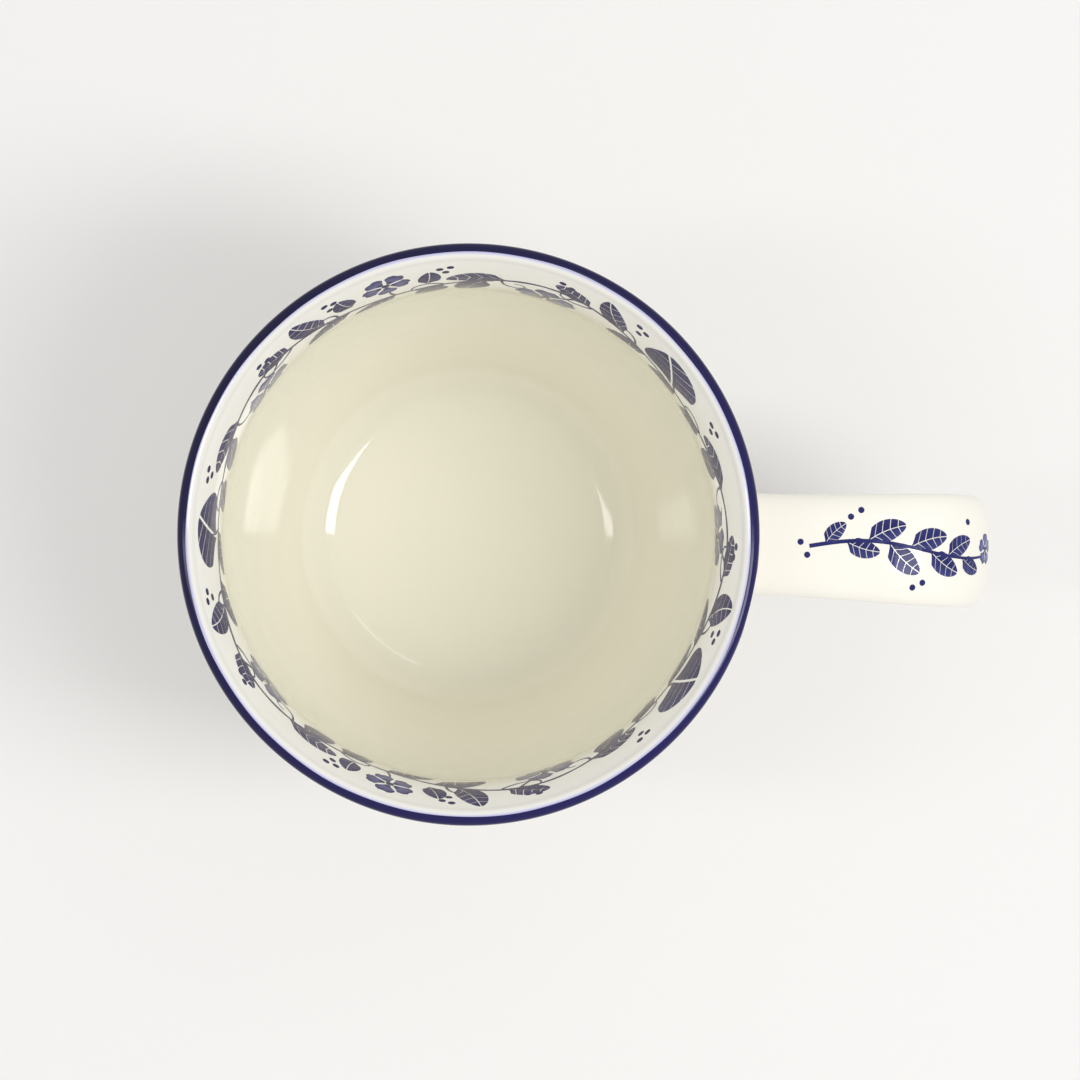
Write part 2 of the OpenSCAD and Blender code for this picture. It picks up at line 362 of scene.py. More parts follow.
skin = quads(bowl_ids)
kept = np.ones(skin.shape[:2], bool)
opened = np.arange(-half_cols, half_cols)
kept[up_low:up_low + hole_rows, opened] = False
kept[down_low:down_low + hole_rows, opened] = False
kept[[0, -1]] = False
under = np.stack([np.full(turns, bowl_ids[0, 0]), bowl_ids[1], np.roll(bowl_ids[1], -1)], axis=-1)
floor_fan = np.stack([np.full(turns, bowl_ids[-1, 0]), bowl_ids[-2], np.roll(bowl_ids[-2], -1)], axis=-1)
mug_faces = np.concatenate([skin[kept], quads(strap_ids).reshape(-1, 4)])
mug_fans = np.concatenate([under, floor_fan])
mug_points = np.concatenate([bowl_points, strap.reshape(-1, 3)])
used, number = np.unique(np.concatenate([mug_faces.ravel(), mug_fans.ravel()]), return_inverse=True)
mug_points = mug_points[used]
mug_faces = number[:mug_faces.size].reshape(-1, 4)
mug_fans = number[-mug_fans.size:].reshape(-1, 3)


sharp_edge = np.radians(30)


def piece(name, points, faces, marks, finish):
    """A mesh object from points and faces, smooth, its faces turned outwards, with one number a point
    for each mark and one material. Edges that turn by more than sharp_edge stay sharp."""
    mesh = bpy.data.meshes.new(name)
    mesh.from_pydata(points.tolist(), [], faces)
    shell = bmesh.new()
    shell.from_mesh(mesh)
    bmesh.ops.recalc_face_normals(shell, faces=shell.faces)
    shell.to_mesh(mesh)
    shell.free()
    for mark, values in marks.items():
        mesh.attributes.new(mark, "FLOAT", "POINT").data.foreach_set("value", values.astype(np.float32))
    mesh.shade_smooth()
    mesh.set_sharp_from_angle(angle=sharp_edge)
    mesh.materials.append(finish)
    made = bpy.data.objects.new(name, mesh)
    bpy.context.scene.collection.objects.link(made)
    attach(made, "root")
    return made


# The glaze. Glassy over an ivory body, whitest on the band under the rim and cream down inside. Inside
# the lip it is painted darker, a painted shade, and the floor is painted darker than the walls, a painted
# shade there, where the glaze also pools. A breath of blue has run into it from the painted rim.
# The ring that the mug stands on was wiped bare before the firing.
line_edge_r = 0.04362
blush_run = 0.0005
# How far down inside the lip the painted shade reaches.
lip_shade_to = 0.0022
cream_from = 0.0105
cream_full = 0.0205
# Height over the floor to which the floor's painted shade and pooled glaze reach.
pool_shade_high = 0.003
bare_high = 0.00025
china_index = 1.52
body_pair = ((0.885, 0.862, 0.79), (0.87, 0.842, 0.765))
band_pair = ((0.968, 0.960, 0.926), (0.955, 0.944, 0.905))
cream_pair = ((0.975, 0.956, 0.845), (0.966, 0.945, 0.83))
# The floor's colour: partly pooled glaze, partly painted shade that keeps the floor darker than the walls.
pool_shade_colour = (0.912, 0.890, 0.772)
# Painted shade: the colour that darkens the inside of the lip.
lip_shade_colour = (0.79, 0.775, 0.73)
blush_colour = (0.31, 0.32, 0.70)
blush_most = 0.8
bare_colour = (0.80, 0.76, 0.69)
bare_rough = 0.75
bump_strength = 0.12
inside = ~outer_rows
row_depth = height - outline[:, 1]
row_cream = inside * ease((row_depth - cream_from) / (cream_full - cream_from))
from_line = line_edge_r - outline[:, 0]
row_blush = inside * (row_depth < lip_r) * np.clip(1 - from_line / blush_run, 0, 1)
# Painted shade inside the lip, fading out a little way down.
row_lip_shade = inside * ease(1 - row_depth / lip_shade_to)
row_bare = (outline[:, 1] < bare_high) * 1.0
# Painted shade and pooled glaze on the floor, fading out where the corner begins.
row_pool_shade = inside * ease((floor_z + pool_shade_high - outline[:, 1]) / pool_shade_high)
row_band = inside * (1 - row_cream)
mark_rows = {
    "band": row_band, "cream": row_cream, "pool_shade": row_pool_shade,
    "lip_shade": row_lip_shade, "blush": row_blush, "bare": row_bare,
}
mug_marks = {
    mark: np.concatenate([np.repeat(values, turns), np.zeros(strap[..., 0].size)])[used]
    for mark, values in mark_rows.items()
}

glaze = bpy.data.materials.new("ivory_glaze")
glaze.use_nodes = True
nodes = glaze.node_tree.nodes
links = glaze.node_tree.links
coat = nodes["Principled BSDF"]
coat.inputs["IOR"].default_value = china_index


def mark_node(nodes, name):
    """Output of a node that reads one of the piece's own marks."""
    node = nodes.new("ShaderNodeAttribute")
    node.attribute_name = name
    return node.outputs["Fac"]


def cloud(nodes, links, scale, detail):
    """Output of a soft noise at `scale` features a metre, on the piece's own coordinates."""
    spot = nodes.new("ShaderNodeTexCoord")
    noise = nodes.new("ShaderNodeTexNoise")
    noise.inputs["Scale"].default_value = scale
    noise.inputs["Detail"].default_value = detail
    links.new(spot.outputs["Object"], noise.inputs["Vector"])
    return noise.outputs["Fac"]


def ramp(nodes, links, source, low, high, to_low, to_high):
    """Output that maps source from low..high to to_low..to_high, and holds at the ends."""
    node = nodes.new("ShaderNodeMapRange")
    for name, value in (("From Min", low), ("From Max", high), ("To Min", to_low), ("To Max", to_high)):
        node.inputs[name].default_value = value
    links.new(source, node.inputs["Value"])
    return node.outputs["Result"]


def blend_colour(nodes, links, share, first, second):
    """Output that goes from the first colour to the second by the share."""
    node = nodes.new("ShaderNodeMix")
    node.data_type = "RGBA"
    links.new(share, node.inputs[0])
    for socket, colour in ((node.inputs[6], first), (node.inputs[7], second)):
        if isinstance(colour, tuple):
            socket.default_value = (*colour, 1)
        else:
            links.new(colour, socket)
    return node.outputs[2]


def ripple_node(nodes, links, scale, depth):
    """Output of a bump from a soft noise at `scale` features a metre, up to about a tenth of `depth`."""
    node = nodes.new("ShaderNodeBump")
    node.inputs["Strength"].default_value = bump_strength
    node.inputs["Distance"].default_value = depth
    links.new(cloud(nodes, links, scale, 2), node.inputs["Height"])
    return node.outputs["Normal"]


body_tint = blend_colour(nodes, links, cloud(nodes, links, scale=55, detail=3), *body_pair)
cream_tint = blend_colour(nodes, links, cloud(nodes, links, scale=70, detail=4), *cream_pair)
band_tint = blend_colour(nodes, links, cloud(nodes, links, scale=60, detail=3), *band_pair)
tint = blend_colour(nodes, links, mark_node(nodes, "band"), body_tint, band_tint)
tint = blend_colour(nodes, links, mark_node(nodes, "cream"), tint, cream_tint)
# Floor painted darker than the walls: painted shade, and pooled glaze.
tint = blend_colour(nodes, links, mark_node(nodes, "pool_shade"), tint, pool_shade_colour)
# Painted shade inside the lip.
tint = blend_colour(nodes, links, mark_node(nodes, "lip_shade"), tint, lip_shade_colour)
blush = ramp(nodes, links, mark_node(nodes, "blush"), low=0, high=1, to_low=0, to_high=blush_most)
tint = blend_colour(nodes, links, blush, tint, blush_colour)
tint = blend_colour(nodes, links, mark_node(nodes, "bare"), tint, bare_colour)
links.new(tint, coat.inputs["Base Color"])
speckle = cloud(nodes, links, scale=160, detail=2)
gloss = ramp(nodes, links, speckle, low=0.3, high=0.7, to_low=0.045, to_high=0.085)
worn = nodes.new("ShaderNodeMix")
links.new(mark_node(nodes, "bare"), worn.inputs[0])
links.new(gloss, worn.inputs[2])
worn.inputs[3].default_value = bare_rough
links.new(worn.outputs[0], coat.inputs["Roughness"])
links.new(ripple_node(nodes, links, scale=130, depth=0.0004), coat.inputs["Normal"])

china = piece("china_mug", mug_points, mug_faces.tolist() + mug_fans.tolist(), mug_marks, glaze)
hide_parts("mug")


# The painted rim. A narrow blue line, banded on the lip with a loaded brush while the mug turned on
# a wheel. Both edges waver, it is narrower by the handle, where its lower edge rises and leaves the
# outer half of the lip white, and it goes from all but black, where the brush was full, to a bluer
# colour where it ran dry.
line_turns = 512
line_cols = 13
line_sink = 0.00002
top_waves = ((0.035, 3, 0.4), (0.025, 8, 2), (0.02, 19, 0))
low_waves = ((0.05, 5, 1), (0.03, 13, 0))
# Near the handle the line's lower edge rises, leaving the outer half of the lip white.
narrow_at = -0.2
narrow_half = 0.14
narrow_by = 0.85
full_pair = ((0.006, 0.005, 0.026), (0.011, 0.009, 0.050))
dry_colour = (0.014, 0.011, 0.088)
loaded_at = np.radians(140)
line_shine = 0.22
line_turn = 2 * np.pi * np.arange(line_turns) / line_turns


def waver(waves):
    """How far an edge of the line strays round the lip, in radians of the lip's round section: the sum
    of size times sin(count times the turn + start)."""
    return sum(size * np.sin(count * line_turn + start) for size, count, start in waves)


line_top = np.arccos((line_edge_r - lip_c[0]) / lip_r) + waver(top_waves)
narrowed = np.exp(-((np.angle(np.exp(1j * (line_turn - narrow_at))) / narrow_half) ** 4))
line_low = -flare_a + waver(low_waves) + narrow_by * narrowed
across = np.linspace(0, 1, line_cols)
lift = np.repeat([print_lift, -line_sink], line_cols)
across = np.concatenate([across, across[::-1]])
line_angle = line_low[:, None] + (line_top - line_low)[:, None] * across
line_r = lip_c[0] + (lip_r + lift) * np.cos(line_angle)
line_points = np.stack([
    line_r * np.cos(line_turn)[:, None],
    line_r * np.sin(line_turn)[:, None],
    lip_c[1] + (lip_r + lift) * np.sin(line_angle),
], axis=-1)
line_ids = np.arange(line_r.size).reshape(line_r.shape)
line_faces = quads(np.concatenate([line_ids, line_ids[:1]])).reshape(-1, 4)
line_worn = np.repeat((1 - np.cos(line_turn - loaded_at)) / 2, len(across))

cobalt = bpy.data.materials.new("cobalt_line")
cobalt.use_nodes = True
nodes = cobalt.node_tree.nodes
links = cobalt.node_tree.links
coat = nodes["Principled BSDF"]
coat.inputs["IOR"].default_value = china_index
tint = blend_colour(nodes, links, cloud(nodes, links, scale=90, detail=4), *full_pair)
tint = blend_colour(nodes, links, mark_node(nodes, "worn"), tint, dry_colour)
links.new(tint, coat.inputs["Base Color"])
coat.inputs["Specular IOR Level"].default_value = line_shine
speckle = cloud(nodes, links, scale=300, detail=2)
gloss = ramp(nodes, links, speckle, low=0.3, high=0.7, to_low=0.07, to_high=0.14)
links.new(gloss, coat.inputs["Roughness"])
links.new(ripple_node(nodes, links, scale=500, depth=0.00005), coat.inputs["Normal"])
piece("rim_line", line_points.reshape(-1, 3), line_faces.tolist(), {"worn": line_worn}, cobalt)


# The printed band. A blue transfer under the glaze, on the white band inside the rim: one running
# stem swings between rim and neck, with leaves, blossoms, buds and tendrils off it. It was cut by
# hand, so the veins between a leaf's strokes are left white and no two sprays are quite the same.
mm = 0.001
band_r = 0.0415
band_run = flare_r * flare_a
sprays = 5
spray_run = 2 * np.pi * band_r / sprays
stem_depth = 0.0104
stem_swing = 0.0031
stem_w = 0.00068
curl_w = 0.00048
curl_steps = 21
stalk_w = 0.00058
print_sink = 0.00002
print_shine = 0.12
hand = np.random.default_rng(11)


def band_point(u, v, lift):
    """Point on the white band: u metres round it, v metres down from the lip, along the flare's arc and
    past the neck along the wall's, and lift metres off the glaze, square to it."""
    up = flare_a - v / flare_r
    down = (v - band_run) / inner_r
    past = v > band_run
    wall_r_here = inner_r - lift
    flare_r_here = flare_r + lift
    r = np.where(past, inner_c[0] + wall_r_here * np.cos(down), flare_c[0] - flare_r_here * np.cos(up))
    z = np.where(past, neck_z - wall_r_here * np.sin(down), neck_z + flare_r_here * np.sin(up))
    return np.stack([r * np.cos(u / band_r), r * np.sin(u / band_r), z], axis=-1)


def stroke(line, width):
    """Grid, two points wide, of a pen stroke: each point of the line stepped half the width there to
    both sides, square to the line."""
    ahead = np.gradient(line, axis=-2)
    ahead = ahead / np.linalg.norm(ahead, axis=-1, keepdims=True)
    side = np.stack([-ahead[..., 1], ahead[..., 0]], axis=-1) * (width / 2)[..., None]
    return np.stack([line - side, line + side], axis=-2)


veins = 5
stroke_from = 0.03
stroke_to = 0.93
stroke_slant = 0.22
midrib_gap = 0.04
fullest = 0.396


def leaf(base, heading, length, breadth, bow):
    """Grids of a leaf's strokes, five to each side of the midrib, with white veins between. Along a
    stroke s runs from base to tip, and across it t from the midrib to the edge, slanting to the tip:
    the half breadth is s^0.62 (1 - s)^0.72 over its fullest, and the midrib is an arc that turns by
    `bow`. One side is printed darker than the other, and both pale towards the edge and the tip."""
    j = np.arange(veins)[:, None, None]
    i = np.linspace(stroke_from, stroke_to, 4)[:, None]
    t = np.linspace(0, 1, 4)
    s = (j + i) / veins
    s = s + stroke_slant * t * (1 - s)
    half_breadth = s ** 0.62 * (1 - s) ** 0.72 / fullest
    out = midrib_gap + t * (0.93 * half_breadth + 0.02)
    side = np.array([1.0, -1.0])[:, None, None, None]
    bow, length, breadth, heading = (x[:, None, None, None, None] for x in (bow, length, breadth, heading))
    turned = bow * s
    reach = length * np.sinc(turned / 2 / np.pi) * s
    x = reach * np.cos(turned / 2) - side * out * breadth / 2 * np.sin(turned)
    y = reach * np.sin(turned / 2) + side * out * breadth / 2 * np.cos(turned)
    spot = base[:, None, None, None, None] + np.stack([
        x * np.cos(heading) - y * np.sin(heading),
        x * np.sin(heading) + y * np.cos(heading),
    ], axis=-1)
    tone = np.where(side > 0, 0.06 * t, 0.05 + 0.15 * t) + 0.06 * s
    return spot.reshape(-1, 4, 4, 2), np.broadcast_to(tone, spot.shape[:-1]).reshape(-1, 4, 4)


def blossom(centre, size, spin):
    """Grids of five petals round each centre. Along a petal s runs from its heel to its edge, across it
    t from -1 to 1; its angle is t times half a fifth of a turn, narrower at the heel. Its edge is
    1 - 0.26 |t|^2.6, with a small bell-shaped notch in the middle, and it is darkest at heel and edge."""
    s = np.linspace(0, 1, 6)[:, None]
    t = np.linspace(-1, 1, 7)
    edge = 1 - 0.26 * np.abs(t) ** 2.6 - 0.09 * np.exp(-(t / 0.22) ** 2)
    r = 0.2 + (edge - 0.2) * s
    fan = t * np.pi / 5 * (0.5 + 0.42 * s ** 0.7)
    angle = spin[:, None, None, None] + 2 * np.pi * np.arange(5)[:, None, None] / 5 + fan
    r = size[:, None, None, None] * r
    spot = centre[:, None, None, None] + np.stack([r * np.cos(angle), r * np.sin(angle)], axis=-1)
    tone = np.where(s < 0.3, 0.1, 0.75 - 0.6 * s ** 3) + 0 * t
    return spot.reshape(-1, 6, 7, 2), np.broadcast_to(tone, spot.shape[:-1]).reshape(-1, 6, 7)


def dots(centre, size):
    """Grids of round dots: a square grid drawn into a disc by x sqrt(1 - y^2/2), y sqrt(1 - x^2/2)."""
    x, y = np.meshgrid(np.linspace(-1, 1, 4), np.linspace(-1, 1, 4), indexing="ij")
    disc = np.stack([x * np.sqrt(1 - y * y / 2), y * np.sqrt(1 - x * x / 2)], axis=-1)
    spot = centre[:, None, None] + size * disc
    return spot, np.full(spot.shape[:-1], 0.05)


def tendril(start, heading, length, curl, width):
    """Grids of curling strokes: the heading turns by `curl` in all, faster and faster, and the line is
    the sum of small steps along it. The stroke thins to its end."""
    t = np.linspace(0, 1, curl_steps + 1)
    way = heading[:, None] + curl[:, None] * t ** 1.7
    step = length[:, None] / curl_steps
    steps = np.stack([step * np.cos(way), step * np.sin(way)], axis=-1)
    line = start[:, None] + np.cumsum(steps, axis=1)
    spot = stroke(line, np.broadcast_to(width * (1 - 0.6 * t), line.shape[:-1]))
    return spot, np.full(spot.shape[:-1], 0.08)


def stem_at(u):
    """Depth and direction of the running stem: a cosine wave, and the angle of its slope."""
    wave = 2 * np.pi * u / spray_run
    slope = stem_swing * 2 * np.pi / spray_run * np.sin(wave)
    return stem_depth - stem_swing * np.cos(wave), np.arctan(slope)


def thin_print(name, strokes, laid_on, finish):
    """A piece made of thin closed patches: each grid is laid on the glaze, lifted a hair, and again just
    under it, and a strip joins the two round the edge."""
    points, faces, tones, count = [], [], [], 0
    for grid, tone in strokes:
        upper = laid_on(grid[..., 0], grid[..., 1], print_lift)
        lower = laid_on(grid[..., 0], grid[..., 1], -print_sink)
        points.append(np.stack([upper, lower]).reshape(-1, 3))
        tones.append(np.stack([tone, tone]).ravel())
        ids = count + np.arange(2 * tone.size).reshape(2, *tone.shape)
        count += ids.size
        cell = np.stack([
            ids[..., :-1, :-1], ids[..., 1:, :-1], ids[..., 1:, 1:], ids[..., :-1, 1:],
        ], axis=-1)
        faces.append(cell[0].reshape(-1, 4))
        faces.append(cell[1, ..., ::-1].reshape(-1, 4))
        edge = np.concatenate([
            ids[..., 0, :-1], ids[..., :-1, -1], ids[..., -1, :0:-1], ids[..., :0:-1, 0],
        ], axis=-1)
        ahead = np.roll(edge, -1, axis=-1)
        faces.append(np.stack([edge[0], ahead[0], ahead[1], edge[1]], axis=-1).reshape(-1, 4))
    marks = {"tone": np.concatenate(tones)}
    return piece(name, np.concatenate(points), np.concatenate(faces).tolist(), marks, finish)


def transfer(name, deep_pair, wash_pair):
    """Material of a blue print under glaze: it goes from the deep colour to the wash by the mark `tone`,
    and each of them wanders between the two colours of its pair."""
    made = bpy.data.materials.new(name)
    made.use_nodes = True
    nodes = made.node_tree.nodes
    links = made.node_tree.links
    coat = nodes["Principled BSDF"]
    coat.inputs["IOR"].default_value = china_index
    coat.inputs["Specular IOR Level"].default_value = print_shine
    deep = blend_colour(nodes, links, cloud(nodes, links, scale=600, detail=3), *deep_pair)
    wash = blend_colour(nodes, links, cloud(nodes, links, scale=900, detail=3), *wash_pair)
    ink = blend_colour(nodes, links, mark_node(nodes, "tone"), deep, wash)
    links.new(ink, coat.inputs["Base Color"])
    speckle = cloud(nodes, links, scale=300, detail=2)
    gloss = ramp(nodes, links, speckle, low=0.3, high=0.7, to_low=0.06, to_high=0.12)
    links.new(gloss, coat.inputs["Roughness"])
    links.new(ripple_node(nodes, links, scale=400, depth=0.0001), coat.inputs["Normal"])
    return made


blue = transfer(
    "blue_transfer",
    deep_pair=((0.014, 0.008, 0.060), (0.030, 0.020, 0.115)),
    wash_pair=((0.11, 0.11, 0.29), (0.20, 0.205, 0.43)),
)

spray_start = np.arange(sprays)[:, None] * spray_run
# Leaves of one spray: place along the stem in millimetres, side of it, angle off it in degrees,
# length and breadth in millimetres, and the bow of the midrib in radians.
leaf_table = np.array([
    [8.6, -1, 34, 9.6, 5.0, -0.5],
    [11.0, 1, 30, 10.5, 5.2, 0.6],
    [18.6, 1, 38, 9.8, 5.0, 0.5],
    [26.8, 1, 42, 8.8, 4.8, -0.4],
    [34.4, 1, 34, 9.8, 5.0, 0.6],
    [38.9, -1, 32, 10.0, 5.0, 0.5],
    [46.6, -1, 30, 7.4, 4.4, -0.5],
])


def spread(column, wobble):
    """One column of the leaf table for every spray, each value a little off."""
    return (leaf_table[:, column] + wobble * hand.uniform(-1, 1, (sprays, len(leaf_table)))).ravel()


leaf_u = (spray_start + spread(0, wobble=0.5).reshape(sprays, -1) * mm).ravel()
leaf_side = np.tile(leaf_table[:, 1], sprays)
leaf_v, leaf_way = stem_at(leaf_u)
leaf_heading = leaf_way + leaf_side * np.radians(spread(2, wobble=6))
leaf_length = spread(3, wobble=0.6) * mm
leaf_breadth = spread(4, wobble=0.4) * mm
leaf_bow = leaf_side * spread(5, wobble=0.2)
stem_leaves = leaf(np.column_stack([leaf_u, leaf_v]), leaf_heading, leaf_length, leaf_breadth, leaf_bow)

stem_points = 420
stem_swell = 0.15
stem_swells = 900
stem_tone = 0.06
stem_u = np.linspace(0, sprays * spray_run, stem_points)
stem_v, _way = stem_at(stem_u)
stem_line = np.column_stack([stem_u, stem_v])[None]
running_stem = stroke(stem_line, (stem_w * (1 + stem_swell * np.sin(stem_u * stem_swells)))[None])
stem_print = (running_stem, np.full(running_stem.shape[:-1], stem_tone))

# A blossom hangs in each hollow under the stem, and above it stand, by turns, a broad leaf and a
# smaller blossom between two buds.
low_place = 1.4 * mm
low_depth = 14.8 * mm
low_size = 5.5 * mm
low_heart = 0.85 * mm
low_u = (spray_start + low_place).ravel()
low_spot = np.column_stack([low_u, np.full(sprays, low_depth)])
big_flowers = blossom(low_spot, np.full(sprays, low_size), hand.uniform(0, 1, sprays))
big_hearts = dots(low_spot, low_heart)

high_place = 27.8 * mm
small_depth = 5.9 * mm
small_size = 4.2 * mm
small_heart = 0.7 * mm
high_u = (spray_start + high_place).ravel()
small_u = high_u[1::2]
small_spot = np.column_stack([small_u, np.full(small_u.size, small_depth)])
small_flowers = blossom(small_spot, np.full(small_u.size, small_size), hand.uniform(0, 1, small_u.size))
small_hearts = dots(small_spot, small_heart)

broad_depth = 11.8 * mm
broad_length = 10.2 * mm
broad_breadth = 12.5 * mm
broad_heading = np.radians(np.array([-78.0, -100, -84]))
broad_bow = np.array([0.35, -0.3, 0.25])
broad_u = high_u[::2]
broad_leaves = leaf(
    np.column_stack([broad_u, np.full(broad_u.size, broad_depth)]),
    broad_heading,
    np.full(broad_u.size, broad_length),
    np.full(broad_u.size, broad_breadth),
    broad_bow,
)

bud_before = 6.6 * mm
bud_after = 6.2 * mm
bud_over = 2.8 * mm
bud_length = 6.0 * mm
bud_breadth = 3.8 * mm
bud_u = np.concatenate([small_u - bud_before, small_u + bud_after])
bud_v, _way = stem_at(bud_u)
buds = leaf(
    np.column_stack([bud_u, bud_v - bud_over]),
    np.radians(np.repeat([-104.0, -64.0], small_u.size)),
    np.full(bud_u.size, bud_length),
    np.full(bud_u.size, bud_breadth),
    np.repeat([0.3, -0.3], small_u.size),
)

# Tendrils of one spray, from the low blossom, the high one twice, and the low one again: place from
# it in millimetres, angle off the stem in degrees, length in millimetres, and curl in radians.
curl_table = np.array([
    [-8.0, 62.0, 12.5, -5.2],
    [-9.6, -58.0, 11.0, 5.4],
    [9.0, -66.0, 9.5, 5.0],
    [7.6, 74.0, 10.0, 4.6],
])
curls_each = np.repeat(curl_table, sprays, axis=0)
curl_u = np.concatenate([low_u, high_u, high_u, low_u]) + curls_each[:, 0] * mm
curl_v, curl_way = stem_at(curl_u)
curls = tendril(
    np.column_stack([curl_u, curl_v]),
    curl_way + np.radians(curls_each[:, 1]),
    curls_each[:, 2] * mm * hand.uniform(0.9, 1.1, len(curls_each)),
    curls_each[:, 3] * hand.uniform(0.9, 1.1, len(curls_each)),
    curl_w,
)

# Short stalks carry the blossoms: one from the stem down to each low one, one up to each high place.
stalk_before = 4.8 * mm
stalk_angle = np.radians(70)
stalk_length = 7.4 * mm
stalk_curl = -0.7
stalk_v, stalk_way = stem_at(low_u - stalk_before)
stalks = tendril(
    np.column_stack([low_u - stalk_before, stalk_v]),
    stalk_way + stalk_angle,
    np.full(sprays, stalk_length),
    np.full(sprays, stalk_curl),
    stalk_w,
)
short_before = 1.2 * mm
short_heading = -1.2
short_length = 4.2 * mm
short_curl = -0.5
short_v, _way = stem_at(high_u)
short_stalks = tendril(
    np.column_stack([high_u - short_before, short_v]),
    np.full(sprays, short_heading),
    np.full(sprays, short_length),
    np.full(sprays, short_curl),
    stalk_w,
)

# Dots of one spray, in two threes and a pair: places along the band and depths, in millimetres.
dot_size = 0.6 * mm
dot_places = np.array([17.2, 18.9, 18.0, 36.4, 37.9, 37.4, 50.0, 51.6])
dot_depths = np.array([3.0, 3.5, 5.0, 3.1, 2.4, 4.9, 3.6, 2.8])
dot_u = spray_start + dot_places * mm
dot_v = np.tile(dot_depths * mm, (sprays, 1))
fill_dots = dots(np.stack([dot_u, dot_v], axis=-1).reshape(-1, 2), dot_size)

band_strokes = [
    stem_leaves, stem_print, big_flowers, big_hearts, small_flowers, small_hearts,
    broad_leaves, buds, curls, stalks, short_stalks, fill_dots,
]
thin_print("leaf_band", band_strokes, band_point, blue)


# The printed twig. One spray of the same leaves, in a clearer blue, lies along the strap's outer
# face, from the middle of the arm over the bend, and ends in a small blossom.
twig_from = 0.0535
twig_run = 0.031
twig_swing = 0.0011
twig_wave = 1.15 * twig_run
twig_points = 60


def strap_top(p, q, lift):
    """Point on the strap's outer face: p metres along it from the twig's start, over the bend, q metres
    across, and lift metres off the glaze. The section's angle there is arccos of (2q / width)^(n/2)."""
    run = twig_from + p
    over = np.maximum(run - bend_c[0], 0) / bend_r / half
    on_arm = bend_place * (run - arm_clear) / (bend_c[0] - arm_clear)
    place = np.where(over > 0, bend_place + (1 - bend_place) * over, on_arm)
    skin, normal = strap_skin(place, np.arccos(power(2 * q / strap_w(place), handle_square / 2)))
    return skin + lift * normal


def twig_at(p):
    """How far across the twig lies and its direction at p: a slow sine wave."""
    wave = 2 * np.pi * p / twig_wave
    slope = twig_swing * 2 * np.pi / twig_wave * np.cos(wave)
    return twig_swing * np.sin(wave), np.arctan(slope)


clear_blue = transfer(
    "clear_blue_transfer",
    deep_pair=((0.010, 0.011, 0.075), (0.024, 0.026, 0.150)),
    wash_pair=((0.10, 0.12, 0.36), (0.20, 0.23, 0.52)),
)

twig_p = np.linspace(0, twig_run, twig_points)
twig_q, _way = twig_at(twig_p)
twig_w = np.linspace(0.65, 0.4, twig_points)[None] * mm
twig_stem = stroke(np.column_stack([twig_p, twig_q])[None], twig_w)
twig_print = (twig_stem, np.full(twig_stem.shape[:-1], stem_tone))
# Leaves of the twig: place along it in millimetres, side of it, length and breadth in millimetres.
twig_table = np.array([
    [2.5, 1, 4.6, 2.5],
    [5.8, -1, 5.6, 3.0],
    [9.2, 1, 6.6, 3.5],
    [12.6, -1, 6.8, 3.6],
    [16.0, 1, 6.6, 3.5],
    [19.4, -1, 6.2, 3.4],
    [22.6, 1, 5.6, 3.1],
    [25.6, -1, 4.8, 2.7],
])
twig_leaf_p = twig_table[:, 0] * mm
twig_leaf_q, twig_way = twig_at(twig_leaf_p)
twig_side = twig_table[:, 1]
twig_angle = np.radians(42 + 8 * np.cos(5 * twig_table[:, 0]))
twig_leaves = leaf(
    np.column_stack([twig_leaf_p, twig_leaf_q]),
    twig_way + twig_side * twig_angle,
    twig_table[:, 2] * mm,
    twig_table[:, 3] * mm,
    -0.5 * twig_side,
)
tip_size = 2.6 * mm
tip_heart = 0.42 * mm
tip_spin = 0.3
twig_tip = np.array([[twig_run + 1.8 * mm, 0.4 * mm]])
twig_flower = blossom(twig_tip, np.array([tip_size]), np.array([tip_spin]))
twig_heart = dots(twig_tip, tip_heart)
# Dots beside the twig: place along it and across it, in millimetres.
twig_dot_size = 0.5 * mm
twig_dot_table = np.array([
    [-1.4, 0.6], [-0.3, -1.4], [6.4, 4.8], [8.0, 5.9], [16.6, -6.0], [18.2, -5.2], [27.0, 4.6],
])
twig_dots = dots(twig_dot_table * mm, twig_dot_size)
twig_strokes = [twig_print, twig_leaves, twig_flower, twig_heart, twig_dots]
thin_print("leaf_twig", twig_strokes, strap_top, clear_blue)


# The setting. The mug stands on a pale sheet of paper in plain, soft studio light: a large box on the
# right, which throws the shadow to the left, a narrow one on the left and a small one at the back.
# The camera hangs straight over the mug, with the handle towards the right of the frame.
paper_pair = ((0.845, 0.836, 0.828), (0.82, 0.811, 0.803))
paper_half = 1.5
paper_low = 0.00002
paper_points_across = 4
sky_level = 0.77
lamp_warmth = (1.0, 0.99, 0.975)

paper = bpy.data.materials.new("pale_paper")
paper.use_nodes = True
nodes = paper.node_tree.nodes
links = paper.node_tree.links
sheet = nodes["Principled BSDF"]
sheet.inputs["Roughness"].default_value = 0.9
sheet.inputs["Specular IOR Level"].default_value = 0.2
tint = blend_colour(nodes, links, cloud(nodes, links, scale=6, detail=2), *paper_pair)
links.new(tint, sheet.inputs["Base Color"])
span = np.linspace(-paper_half, paper_half, paper_points_across)
paper_x, paper_y = np.meshgrid(span, span, indexing="ij")
paper_points = np.stack([paper_x, paper_y, np.full_like(paper_x, -paper_low)], axis=-1).reshape(-1, 3)
paper_ids = np.arange(paper_x.size).reshape(paper_x.shape)
paper_faces = np.stack([
    paper_ids[:-1, :-1], paper_ids[1:, :-1], paper_ids[1:, 1:], paper_ids[:-1, 1:],
], axis=-1)
paper_mesh = bpy.data.meshes.new("paper")
paper_mesh.from_pydata(paper_points.tolist(), [], paper_faces.reshape(-1, 4).tolist())
paper_mesh.materials.append(paper)
backdrop = bpy.data.objects.new("paper", paper_mesh)
bpy.context.scene.collection.objects.link(backdrop)

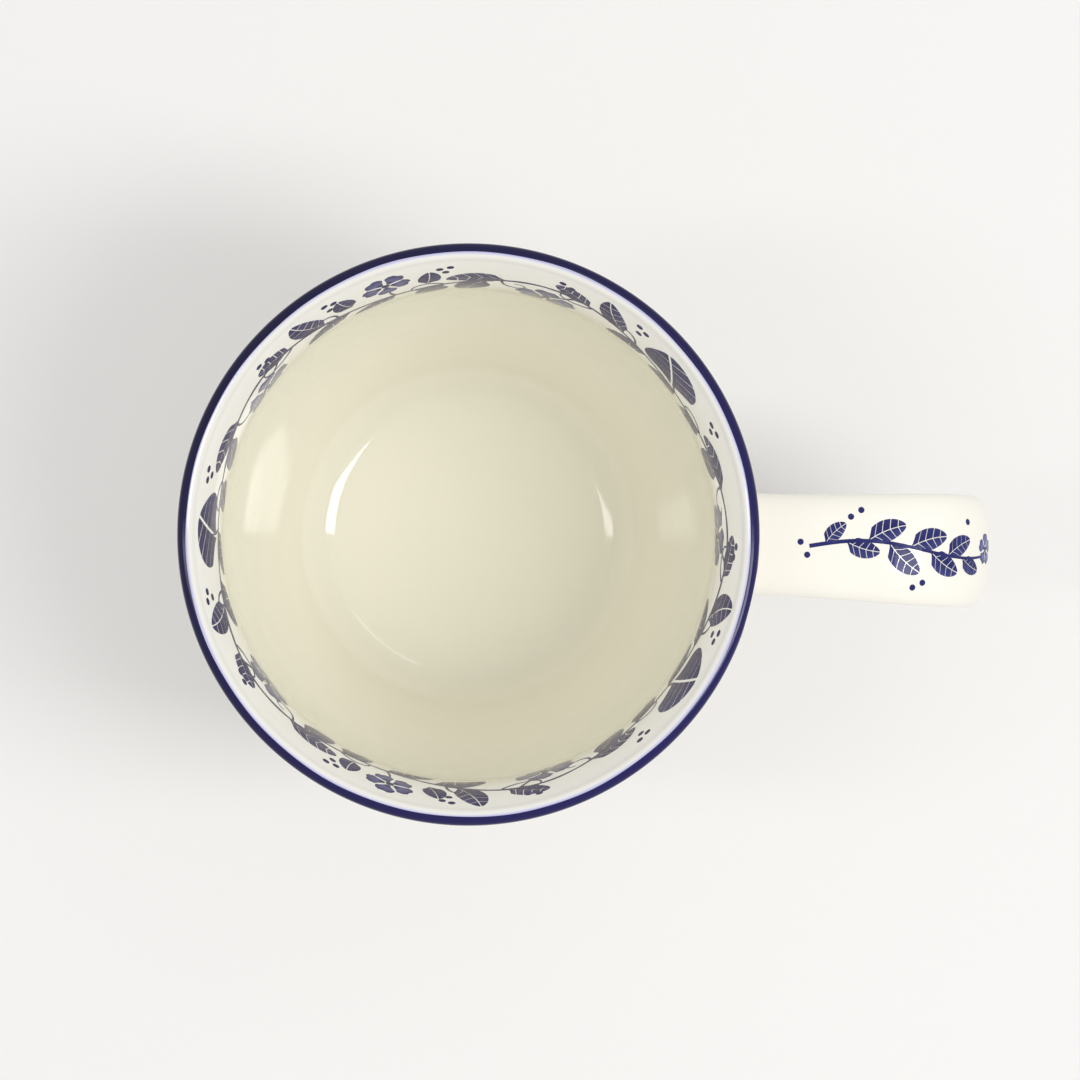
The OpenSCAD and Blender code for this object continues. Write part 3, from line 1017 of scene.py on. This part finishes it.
world = bpy.data.worlds.new("studio")
world.use_nodes = True
world.node_tree.nodes["Background"].inputs["Color"].default_value = (1.0, 1.0, 1.0, 1)
world.node_tree.nodes["Background"].inputs["Strength"].default_value = sky_level
bpy.context.scene.world = world


def softbox(name, azimuth, elevation, aside, width, depth, radiance):
    """A flat lamp a metre off that faces the mug from the given side, moved aside along Y. Its power is
    its radiance times pi times its area, so a mirror would show it that many times as bright as white."""
    lamp = bpy.data.lights.new(name, "AREA")
    lamp.shape = "RECTANGLE"
    lamp.size = width
    lamp.size_y = depth
    lamp.energy = radiance * np.pi * width * depth
    lamp.color = lamp_warmth
    made = bpy.data.objects.new(name, lamp)
    side, rise = np.radians(azimuth), np.radians(elevation)
    made.location = (
        np.cos(side) * np.cos(rise),
        np.sin(side) * np.cos(rise) + aside,
        np.sin(rise),
    )
    made.rotation_euler = (-(half - rise), 0, side - half)
    bpy.context.scene.collection.objects.link(made)
    return made


softbox("right_lamp", azimuth=0, elevation=64.5, aside=-0.10, width=0.21, depth=0.48, radiance=10.1)
softbox("left_lamp", azimuth=180, elevation=64.5, aside=-0.055, width=0.085, depth=0.44, radiance=5.8)
softbox("back_lamp", azimuth=53, elevation=67, aside=0, width=0.26, depth=0.08, radiance=2.2)

lip_high = 0.092
camera_high = 0.9
frame_w = 0.1665
camera_roll = np.radians(1.9)
camera_right = np.array([np.cos(camera_roll), np.sin(camera_roll)])
camera_up = np.array([-np.sin(camera_roll), np.cos(camera_roll)])
camera_aside = 0.002
camera_down = 0.00085
frame_aside = 0.01104
camera_xy = camera_aside * camera_right - camera_down * camera_up
lens = bpy.data.cameras.new("camera")
lens.sensor_width = 36
lens.lens = lens.sensor_width * camera_high / frame_w
lens.shift_x = (frame_aside - camera_aside) / frame_w
lens.clip_start = 0.01
camera = bpy.data.objects.new("camera", lens)
camera.location = (camera_xy[0], camera_xy[1], lip_high + camera_high)
camera.rotation_euler = (0, 0, camera_roll)
bpy.context.scene.collection.objects.link(camera)
bpy.context.scene.camera = camera
bpy.context.scene.view_settings.view_transform = "Standard"
